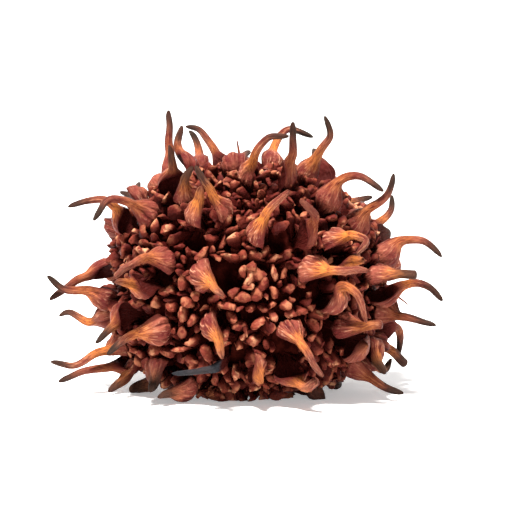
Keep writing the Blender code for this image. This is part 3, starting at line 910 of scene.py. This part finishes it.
def new_material(name: str) -> tuple[bpy.types.Material, ShaderGraph, bpy.types.Node]:
    """A new material with its graph and its Principled shader."""
    material = bpy.data.materials.new(name)
    material.use_nodes = True
    return material, ShaderGraph(material.node_tree), material.node_tree.nodes["Principled BSDF"]


# Pieces


@dataclass
class CapsuleValves:
    """The valves of a set of capsules: pleated half shells that narrow to a neck and run on as beaks."""

    name: str
    valves: list[Valve]
    wood: bpy.types.Material
    stations: int
    section_points: int
    seed: int
    root_depth: float = 3.8 * MM
    half_width: float = 1.62 * MM
    neck_half_width: float = 0.46 * MM
    tip_half_width: float = 0.26 * MM
    blunt_half_width: float = 0.46 * MM
    neck_heights: tuple[float, float] = (2.4 * MM, 3.1 * MM)
    root_share: float = 0.4
    root_swell: float = 1.5 * MM
    outer_share: float = 0.7
    width_spread: float = 0.12
    top_loss: float = 0.14
    top_heights: tuple[float, float] = (13.0 * MM, 20.0 * MM)
    valve_thickness: float = 0.95
    beak_thickness: float = 0.92
    shell_hollow: float = 0.42
    tip_rounding: float = 1.0 * MM
    blunt_rounding: float = 0.14 * MM
    weathered_losses: tuple[float, float] = (0.24, 0.36)
    vivid_tone: float = 1.0
    dull_tone: float = 0.08
    vivid_swell: float = 0.1
    wander: float = 0.24 * MM
    wander_scale: float = 420.0
    most_drift: float = 50.0
    rib_counts: tuple[int, int] = (5, 9)
    pleating: tuple[float, float] = (0.25, 1.0)
    inner_burning: tuple[float, float] = (0.0, 0.35)
    outer_burning: tuple[float, float] = (0.8, 1.0)
    route_steps: int = 14
    rib_height: float = 0.34 * MM
    wrinkle_height: float = 0.14 * MM
    keel_height: float = 0.12 * MM
    keel_sharpness: float = 6.0
    ring_radius: float = 0.1 * MM
    fold_scale: float = 2.6
    sway_scale: float = 1.3
    rib_sway: float = 2.4
    grain_stretch: float = 0.22
    grain_spread: float = 40.0
    tip_crowding: float = 1.15
    heading_reach: float = 0.15 * MM
    wander_start: tuple[float, float] = (0.5 * MM, 3.0 * MM)
    narrowing_start: float = 0.4 * MM
    widest_height: float = 0.5 * MM
    thinnest_cap: float = 0.02

    def rail(self, valve: Valve, rng: random.Random) -> list[dict[str, Any]]:
        """The stations along one valve.

        Args:
            valve: the valve.
            rng: the source of its draws.

        Returns:
            The named values of each station.
        """
        root = valve.base - BODY.outward((valve.base - BODY.middle).normalized()) * self.root_depth
        route = smooth_route([root, *valve.points], self.route_steps)
        run = np.concatenate(([0.0], np.cumsum([(b - a).length for a, b in zip(route, route[1:])])))
        length = float(run[-1])
        axes = np.array(route).T

        def spot(distance: float) -> Vector:
            """The place this far along the route."""
            return Vector([float(np.interp(distance, run, axis)) for axis in axes])

        breadth = rng.uniform(1 - self.width_spread, 1 + self.width_spread)
        breadth *= 1 - self.top_loss * eased(valve.base.z, *self.top_heights)
        drift = Vector([rng.uniform(-self.most_drift, self.most_drift) for _ in range(3)])
        ribs, phase, tone = rng.randint(*self.rib_counts), rng.uniform(0, math.tau), rng.random()
        neck_height = rng.uniform(*self.neck_heights)
        if valve.vivid or valve.dull:
            tone = self.vivid_tone if valve.vivid else self.dull_tone
        breadth += self.vivid_swell * valve.vivid
        pleating = rng.uniform(*self.pleating)
        beyond = BODY.beyond_outline(valve.points[-1]) > 0
        burning = rng.uniform(*(self.outer_burning if beyond else self.inner_burning))
        rounding = self.blunt_rounding if valve.blunt else self.tip_rounding
        tip_width = self.blunt_half_width if valve.blunt else self.tip_half_width
        inner = valve.partner - valve.base
        stations = []
        for number in range(self.stations + 1):
            distance = length * (1 - (1 - number / self.stations) ** self.tip_crowding)
            along = (spot(distance + self.heading_reach) - spot(distance - self.heading_reach)).normalized()
            inner = (inner - along * inner.dot(along)).normalized()
            rise = distance - self.root_depth
            here = spot(distance)
            bend = noise.noise_vector(here * self.wander_scale + drift) * self.wander
            narrowing = eased(rise, self.narrowing_start, neck_height)
            root_widening = eased(rise, -self.root_swell, self.widest_height)
            widening = self.root_share + (1 - self.root_share) * root_widening
            beak = max(rise - neck_height, 0) / max(length - self.root_depth - neck_height, MM)
            slim = self.neck_half_width + (tip_width - self.neck_half_width) * beak
            fullness = 1 - narrowing
            width = self.half_width * breadth * widening * fullness + slim * narrowing
            end = max((distance - length + rounding) / rounding, 0)
            width *= max(math.sqrt(max(1 - end * end, 0)), self.thinnest_cap)
            if valve.weathered:
                width *= 1 - self.weathered_losses[0] - self.weathered_losses[1] * fullness
            thickness = self.beak_thickness + (self.valve_thickness - self.beak_thickness) * fullness
            stations.append({
                "place": here + bend * eased(rise, *self.wander_start),
                "across": along.cross(inner),
                "outer": -inner,
                "half_width": width,
                "half_depth": width * thickness,
                "hollow": -self.beak_thickness + (self.shell_hollow + self.beak_thickness) * fullness,
                "fullness": fullness,
                "rise": rise / MM,
                "tip_gap": (length - distance) / MM,
                "ribs": ribs / 2,
                "pleating": pleating,
                "burning": burning,
                "phase": phase,
                "tone": tone,
                "weathered": float(valve.weathered),
            })
        return stations

    def rails(self) -> bpy.types.Mesh:
        """All the valves' stations as one mesh of open lines."""
        rng = random.Random(self.seed)
        rows, edges = [], []
        for valve in self.valves:
            start = len(rows)
            rows.extend(self.rail(valve, rng))
            edges.extend((k, k + 1) for k in range(start, len(rows) - 1))
        return bare_mesh(self.name + "_rails", rows, edges)

    def growth(self) -> Growth:
        """The tree that sweeps a pleated, hollow section along the rails."""
        tree = Growth(self, "section_points", "rib_height", "wrinkle_height", "keel_height")
        rails = tree.out("GeometryNodeMeshToCurve", values={"Mesh": tree.size("Geometry")})
        ring = tree.out("GeometryNodeCurvePrimitiveCircle", {"mode": "RADIUS"},
                        {"Resolution": tree.size("section_points"), "Radius": self.ring_radius}, "Curve")
        factor = tree.out("GeometryNodeSplineParameter", output="Factor")
        outer_turn = (factor / self.outer_share).at_most(1.0)
        inner_turn = ((factor - self.outer_share) / (1 - self.outer_share)).at_least(0.0)
        ring = tree.store(ring, "turn", (outer_turn + inner_turn) * math.pi)
        tube = tree.out("GeometryNodeCurveToMesh",
                        values={"Curve": rails, "Profile Curve": ring, "Fill Caps": True})

        turn = tree.read("turn")
        side, back = turn.applied("COSINE"), turn.applied("SINE")
        outer_side = back.at_least(0.0)
        inner_side = (-back).at_least(0.0)
        width, depth, fullness, rise, tone, ribs, phase = map(tree.read, (
            "half_width", "half_depth", "fullness", "rise", "tone", "ribs", "phase"))
        across, outer, place = (tree.read(name, "FLOAT_VECTOR") for name in ("across", "outer", "place"))
        # The tone moves each valve to its own part of the noise.
        lengthways = rise * self.grain_stretch + tone * self.grain_spread
        ring_place = tree.out("ShaderNodeCombineXYZ", values={0: side, 1: back, 2: lengthways})
        folds = tree.noise(ring_place, self.fold_scale, 3) * 2.0 - 1.0
        sway = (tree.noise(ring_place, self.sway_scale, 1) * 2.0 - 1.0) * self.rib_sway
        lobes = (turn * ribs + phase + sway).applied("SINE").applied("ABSOLUTE")
        groove = (1 - lobes.eased(0, 0.6)) * outer_side.eased(0, 0.4) * fullness.eased(0.02, 0.5)
        groove = groove * tree.read("pleating")
        wrinkles = folds * (0.35 + fullness) * tree.size("wrinkle_height")
        keel = outer_side**self.keel_sharpness * tree.size("keel_height") * rise.eased(0.6, 2.6)
        swell = wrinkles - groove * tree.size("rib_height") + keel
        sideways = side * (width + swell)
        backward = outer_side * (depth + swell) + inner_side * (tree.read("hollow") * depth + wrinkles * 0.4)
        shaped = tree.moved(tube, Position=place + across * sideways + outer * backward)
        shaped = tree.store(shaped, "groove", groove)
        # Where the valve's inner side is, for the painted shade inside the valves.
        shaped = tree.store(shaped, "inside_shade", inner_side.eased(0, 0.3) * fullness.eased(0.05, 0.4))
        shaped = tree.store(shaped, "grain_place", ring_place, "FLOAT_VECTOR")
        tree.finish(shaped, self.wood)
        return tree

    def build(self) -> bpy.types.Object:
        """Grows the valves as one piece."""
        return self.growth().grow(self.name, self.rails())


@dataclass
class Knobs:
    """The blunt knobs that crowd the places between the capsules."""

    valves: list[Valve]
    wood: bpy.types.Material
    name: str = "knobs"
    seed: int = 8
    tries: int = 36000
    girths: tuple[float, float] = (0.19 * MM, 0.43 * MM)
    packing: float = 1.16
    most_stretch: float = 1.5
    flatness: tuple[float, float] = (0.6, 1.0)
    rises: tuple[float, float] = (0.9, 1.6)
    shrinking: tuple[float, float] = (0.7, 1.0)
    unevenness: float = 1.5
    # The height at which a knob's tone is no longer darkened as painted shade.
    palest_height: float = 0.1 * MM
    row_scale: float = 150.0
    row_spread: float = 0.5
    seen_facing: float = 0.5
    seen_height: float = 0.2 * MM
    seen_rise: float = 1.3
    seen_paleness: float = 0.85
    heights: tuple[float, float] = (-1.1 * MM, 0.45 * MM)
    root_ratio: float = 4.0
    tilt: float = 0.5
    cluster_scale: float = 330.0
    cluster_lift: float = 0.9 * MM
    gap_level: float = -0.34
    valve_clearance: float = 1.3 * MM
    valve_reaches: tuple[tuple[float, float], ...] = ((0.0, 1.0), (1.0 * MM, 0.8), (2.0 * MM, 0.6))
    opening_places: tuple[float, ...] = (0.2, 0.5)
    opening_clearance: float = 1.2 * MM
    opening_share: float = 0.4
    widest_opening: float = 1.6 * MM
    lump_height: float = 0.32 * MM
    lump_scale: float = 950.0
    lobe_height: float = 0.07 * MM
    lobe_scale: float = 2300.0
    segments: int = 10
    rings: int = 7

    def crowded(self) -> tuple[np.ndarray, np.ndarray]:
        """Points that no knob may come near, each with how near."""
        points, gaps = [], []
        for valve in self.valves:
            lean = (valve.points[1] - valve.base).normalized()
            for reach, share in self.valve_reaches:
                points.append(valve.base + lean * reach)
                gaps.append(self.valve_clearance * share)
            for share in self.opening_places:
                points.append(valve.base.lerp(valve.partner, share))
                apart = (valve.partner - valve.base).length
                wide = min(self.opening_share * apart, self.widest_opening)
                gaps.append(max(self.opening_clearance, wide))
        return np.array(points), np.array(gaps)

    def knob(self, place: Vector, facing: Vector, along: Vector, scale: Triple,
             tone: float) -> dict[str, Any]:
        """The named values of a knob.

        Args:
            place: where its widest ring is.
            facing: the way that it faces.
            along: the way that its length runs.
            scale: half its width, half its length and its height.
            tone: how pale it is.

        Returns:
            The values, with the turn as Euler angles.
        """
        side = along.cross(facing).normalized()
        axes = Matrix((side, facing.cross(side), facing)).transposed()
        return {"place": place, "turned": Vector(axes.to_euler()), "knob_scale": scale, "tone": tone}

    def sites(self) -> bpy.types.Mesh:
        """The knobs' places as points with each knob's turn, sizes and tone."""
        rng = random.Random(self.seed)
        blocked, gaps = self.crowded()
        tops, radii, rows = np.empty((0, 3)), np.empty(0), []
        for right, up, long, wide, degrees, tone in SEEN_KNOBS:
            spot = BODY.seen_at(right * MM, up * MM, Face.NEAR)
            normal = BODY.outward((spot - BODY.middle).normalized())
            facing = (normal + VIEW.toward * self.seen_facing).normalized()
            angle = math.radians(degrees)
            along = VIEW.place(math.cos(angle), math.sin(angle), 0)
            tops, radii = np.vstack((tops, spot)), np.append(radii, (long + wide) / 2 * MM)
            scale = (wide * MM, long * MM, wide * MM * self.seen_rise)
            place = spot + normal * self.seen_height
            rows.append(self.knob(place, facing, along, scale, tone * self.seen_paleness))
        thin, thick = self.girths
        low, high = self.heights
        for attempt in range(self.tries):
            direction = random_direction(rng)
            spot = BODY.surface(direction)
            shrinking = math.sqrt(attempt / self.tries) * rng.uniform(*self.shrinking)
            girth = thick - (thick - thin) * shrinking
            cluster = noise.noise(spot * self.cluster_scale)
            if cluster < self.gap_level:
                continue
            row = np.array(spot)
            if np.min(np.linalg.norm(tops - row, axis=1) - self.packing * (radii + girth)) < 0:
                continue
            if np.min(np.linalg.norm(blocked - row, axis=1) - gaps) < 0:
                continue
            tops, radii = np.vstack((tops, row)), np.append(radii, girth)
            normal = BODY.outward(direction)
            spin = noise.noise(spot * self.row_scale) * math.tau + rng.gauss(0, self.row_spread)
            along, side = tangent_frame(normal, spin)
            facing = (normal + along * rng.gauss(0, self.tilt) + side * rng.gauss(0, self.tilt)).normalized()
            sinking = (high - low) * rng.random() ** self.unevenness
            height = high - sinking + self.cluster_lift * min(cluster, 0)
            long = girth * (1 + self.most_stretch * rng.random() ** self.unevenness)
            wide = girth * rng.uniform(*self.flatness)
            scale = (wide, long, girth * rng.uniform(*self.rises))
            # Lower knobs get a darker tone: painted shade in the recesses, times a random tone.
            tone = rng.random() * eased(height, low, self.palest_height)
            rows.append(self.knob(spot + normal * height, facing, along, scale, tone))
        return bare_mesh(self.name + "_sites", rows, [])

    def growth(self) -> Growth:
        """The tree that stands a lumpy knob on every site."""
        tree = Growth(self, "segments", "rings", "root_ratio", "lump_height", "lump_scale", "lobe_height",
                      "lobe_scale")
        bead = tree.out("GeometryNodeMeshUVSphere", values={
            "Radius": 1.0,
            "Segments": tree.size("segments"),
            "Rings": tree.size("rings"),
        })
        place = tree.out("GeometryNodeInputPosition")
        axes = tree.node("ShaderNodeSeparateXYZ", values={0: place})
        x, y, height = (Signal(tree, output) for output in axes.outputs)
        stalk = height.at_least(0.0) - 1.0 - (-height).at_least(0.0) * tree.size("root_ratio")
        # The height on the bead, from which the knob wood paints shade low down and a highlight on top.
        bead = tree.store(bead, "lit_crest", height * 0.5 + 0.5)
        bead = tree.moved(bead, Position=tree.out("ShaderNodeCombineXYZ", values={0: x, 1: y, 2: stalk}))
        angles = tree.read("turned", "FLOAT_VECTOR")
        turned = tree.out("FunctionNodeEulerToRotation", values={"Euler": angles})
        stood = tree.out("GeometryNodeInstanceOnPoints", values={
            "Points": tree.size("Geometry"),
            "Instance": bead,
            "Rotation": turned,
            "Scale": tree.read("knob_scale", "FLOAT_VECTOR"),
        })
        real = tree.out("GeometryNodeRealizeInstances", values={"Geometry": stood})
        spot = tree.out("GeometryNodeInputPosition")
        shift = None
        for form in ("lump", "lobe"):
            raw = tree.noise(spot, tree.size(form + "_scale"), 1.0, "Color")
            push = tree.vectors("SUBTRACT", raw, (0.5, 0.5, 0.5)) * (tree.size(form + "_height") * 4.0)
            shift = shift + push if shift else push
        lumpy = tree.moved(real, Offset=shift)
        tree.finish(lumpy, self.wood)
        return tree

    def build(self) -> bpy.types.Object:
        """Grows the knobs as one piece."""
        return self.growth().grow(self.name, self.sites())


@dataclass
class Needles:
    """The bits of dry needle that are caught between the beaks."""

    wood: bpy.types.Material
    name: str = "needles"
    thickness: float = 0.19 * MM
    tip_share: float = 0.35
    sag: float = 0.12 * MM
    sides: int = 8
    rings: int = 8
    tone: float = 0.35

    def build(self) -> bpy.types.Object:
        """Models them in one mesh of thin, slightly bent cones."""
        shape = bmesh.new()
        for start, end in NEEDLES:
            depth = BODY.seen_at(start[0] * MM, start[1] * MM, Face.NEAR).dot(VIEW.toward)
            root, tip = (VIEW.place(right * MM, up * MM, depth) for right, up in (start, end))
            side, other = tangent_frame((tip - root).normalized(), 0)
            loops = []
            for ring in range(self.rings + 1):
                share = ring / self.rings
                middle = root.lerp(tip, share) + VIEW.up * self.sag * math.sin(math.pi * share)
                radius = self.thickness * (1 - (1 - self.tip_share) * share)
                loop = []
                for number in range(self.sides):
                    turn = math.tau * number / self.sides
                    out = side * math.cos(turn) + other * math.sin(turn)
                    loop.append(shape.verts.new(middle + out * radius))
                loops.append(loop)
            for low, high in zip(loops, loops[1:]):
                for number in range(self.sides):
                    after = (number + 1) % self.sides
                    shape.faces.new((low[number], low[after], high[after], high[number]))
            shape.faces.new(loops[0][::-1])
            shape.faces.new(loops[-1])
        bmesh.ops.recalc_face_normals(shape, faces=shape.faces)
        piece = modelled(self.name, shape, self.wood)
        count = len(piece.data.vertices)
        # The needles take the painted crest highlight at full height and none of the painted root shade.
        for label, value in (("lit_crest", 1.0), ("tone", self.tone)):
            piece.data.attributes.new(label, "FLOAT", "POINT").data.foreach_set("value", [value] * count)
        return piece


@dataclass
class Core:
    """The woody core, with a pit under every capsule's opening."""

    valves: list[Valve]
    wood: bpy.types.Material
    name: str = "core"
    subdivisions: int = 6
    depth: float = 2.5 * MM
    pit_depth: float = 1.7 * MM
    pit_radius: float = 1.7 * MM
    bumps: float = 0.5 * MM
    bump_scale: float = 600.0
    underside: float = 0.05 * MM

    def build(self) -> bpy.types.Object:
        """Models the core in one closed mesh with a flat underside."""
        openings = np.array([(valve.base + valve.partner) / 2 for valve in self.valves])
        shape = bmesh.new()
        bmesh.ops.create_icosphere(shape, subdivisions=self.subdivisions, radius=1)
        for vert in shape.verts:
            direction = vert.co.normalized()
            spot = BODY.surface(direction)
            gap = float(np.min(np.linalg.norm(openings - np.array(spot), axis=1)))
            depth = self.depth + self.pit_depth * eased(gap, self.pit_radius, 0)
            depth += noise.noise(direction * BODY.half_width * self.bump_scale) * self.bumps
            vert.co = spot - BODY.outward(direction) * depth
            vert.co.z = max(vert.co.z, self.underside)
        return modelled(self.name, shape, self.wood)


@dataclass
class Studio:
    """A plain pale floor that curves up behind the ball, soft light and the camera."""

    distance: float = 330 * MM
    field_width: float = 50.7 * MM
    aim_right: float = 0.65 * MM
    aim_up: float = 13.65 * MM
    sensor: float = 36.0
    nearest_seen: float = 10 * MM
    floor_half_width: float = 600 * MM
    floor_front: float = -500 * MM
    floor_back: float = 260 * MM
    sweep_radius: float = 160 * MM
    wall_height: float = 700 * MM
    sweep_steps: int = 24
    sky_strength: float = 0.16
    floor_white: Colour = (0.9, 0.9, 0.9)
    floor_roughness: float = 0.9
    floor_glow: float = 0.35
    # Each light's name, place, size, power in watts and tint.
    lights: tuple[tuple[str, Triple, float, float, Colour], ...] = (
        ("key", (-0.07, -0.15, 0.44), 0.07, 8.6, (1, 0.98, 0.95)),
        ("front", (0.18, -0.42, 0.12), 0.3, 0.35, (1, 1, 1)),
    )

    def camera(self) -> None:
        """Places the camera at the viewpoint, far off with a long lens."""
        lens = bpy.data.cameras.new("camera")
        eye = placed("camera", lens)
        aim = VIEW.place(self.aim_right, self.aim_up, 0)
        eye.location = aim + VIEW.toward * self.distance
        eye.rotation_euler = (math.pi / 2 - VIEW.tilt, 0, 0)
        lens.sensor_width = self.sensor
        lens.lens = self.sensor * self.distance / self.field_width
        lens.clip_start = self.nearest_seen
        bpy.context.scene.camera = eye

    def floor(self) -> bpy.types.Object:
        """The floor and the wall behind as one smooth sweep."""
        outline = [(self.floor_front, 0.0), (self.floor_back, 0.0)]
        for step in range(1, self.sweep_steps + 1):
            turn = math.pi / 2 * step / self.sweep_steps
            outline.append((self.floor_back + self.sweep_radius * math.sin(turn),
                            self.sweep_radius * (1 - math.cos(turn))))
        outline.append((self.floor_back + self.sweep_radius, self.wall_height))
        shape = bmesh.new()
        edge = self.floor_half_width
        rows = [[shape.verts.new((x, y, z)) for x in (-edge, edge)] for y, z in outline]
        for (a, b), (c, d) in zip(rows, rows[1:]):
            shape.faces.new((a, b, d, c))
        material, _, shader = new_material("pale_floor")
        shader.inputs["Base Color"].default_value = (*self.floor_white, 1)
        shader.inputs["Roughness"].default_value = self.floor_roughness
        shader.inputs["Emission Color"].default_value = (1, 1, 1, 1)
        shader.inputs["Emission Strength"].default_value = self.floor_glow
        return modelled("floor", shape, material)

    def softbox(self, name: str, place: Triple, size: float, power: float, tint: Colour) -> None:
        """A square light that faces the ball."""
        light = bpy.data.lights.new(name, "AREA")
        light.energy, light.size, light.color = power, size, tint
        lamp = placed(name, light)
        lamp.location = place
        lamp.rotation_euler = (BODY.middle - lamp.location).to_track_quat("-Z", "Y").to_euler()

    def build(self) -> None:
        """Sets up the floor, the lights and the camera."""
        self.floor()
        world = bpy.data.worlds.new("studio")
        world.use_nodes = True
        sky = world.node_tree.nodes["Background"]
        sky.inputs["Color"].default_value = (1, 1, 1, 1)
        sky.inputs["Strength"].default_value = self.sky_strength
        bpy.context.scene.world = world
        bpy.context.scene.view_settings.view_transform = "Standard"
        for light in self.lights:
            self.softbox(*light)
        self.camera()


def report(piece: bpy.types.Object) -> None:
    """Hands a finished piece to the frame and logs its size."""
    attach(piece, "root")
    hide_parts(NODE)
    piece.data.calc_loop_triangles()
    LOG.info("%s: %d triangles", piece.name, len(piece.data.loop_triangles))


def main() -> None:
    """Builds the ball and the studio around it."""
    logging.basicConfig(level=logging.INFO, format="%(name)s %(message)s")
    noise.seed_set(NOISE_SEED)
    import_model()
    layout = CapsuleLayout()
    seen = layout.seen()
    grown = layout.grown(seen)
    seen_valves = [valve for pair in seen for valve in pair]
    grown_valves = [valve for pair in grown for valve in pair]
    wood = DryWood().material()
    open_valves = [valve for valve in seen_valves if not valve.curled]
    report(CapsuleValves("front_valves", open_valves, wood, stations=56, section_points=28, seed=3).build())
    report(CapsuleValves("back_valves", grown_valves, wood, stations=48, section_points=26, seed=4).build())
    knob_wood = KnobWood().material()
    report(Knobs(seen_valves + grown_valves, knob_wood).build())
    report(Needles(knob_wood).build())
    report(Core(seen_valves + grown_valves, CoreWood().material()).build())
    Studio().build()


if __name__ == "__main__":
    main()
